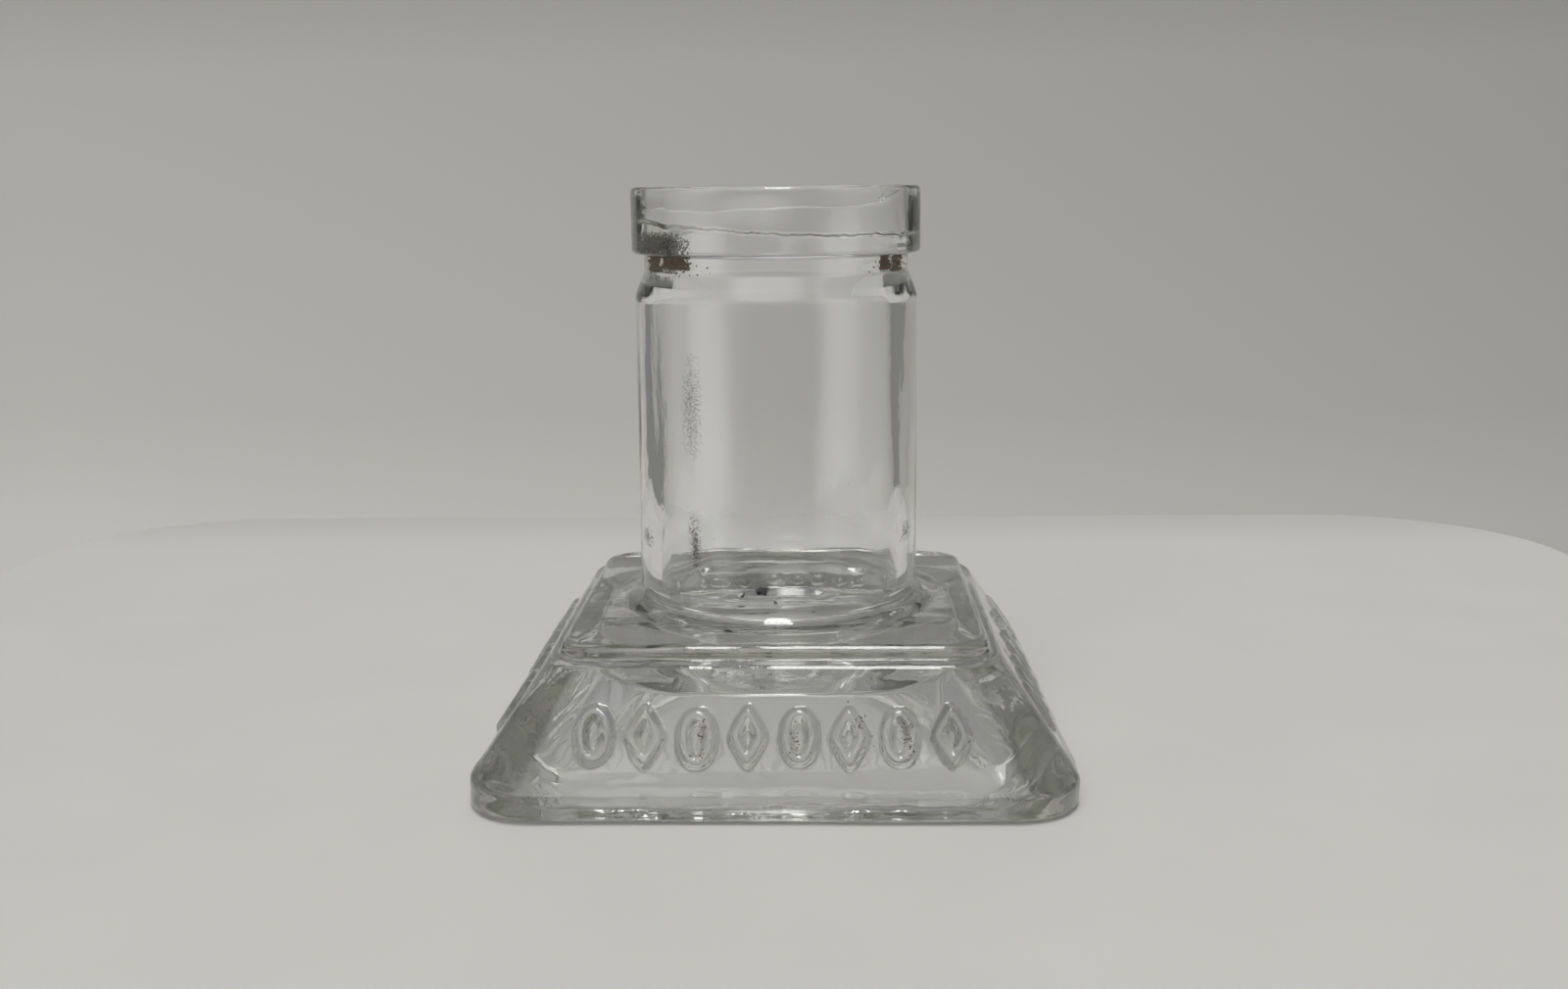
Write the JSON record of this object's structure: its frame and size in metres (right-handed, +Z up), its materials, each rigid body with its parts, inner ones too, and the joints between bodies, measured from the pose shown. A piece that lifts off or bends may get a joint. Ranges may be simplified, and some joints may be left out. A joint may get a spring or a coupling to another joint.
{
  "type": "ink bottle",
  "caption": "Clear glass desk ink bottle: an upright round well with a grooved neck and collar on a broad square sloping foot that is hollow underneath.",
  "frame": {"origin": "on the bottle's axis, in the plane that the foot stands on", "axes": "+Z up along the axis of the round well, towards the mouth; -Y towards the side that is looked at; +X to its right, square to the foot's sides"},
  "size_m": [0.07, 0.07, 0.0697],
  "materials": {
    "clear_glass": "clear pressed glass with a faint grey-green tint, wavy and fire-polished",
    "dried_ink": "dry black ink flakes",
    "rust": "dull brown rust crumbs"
  },
  "bodies": {
    "root": {"glass_bottle": "clear_glass", "dried_ink_flecks": "dried_ink", "rust_crumbs": "rust"}
  },
  "joints": []
}
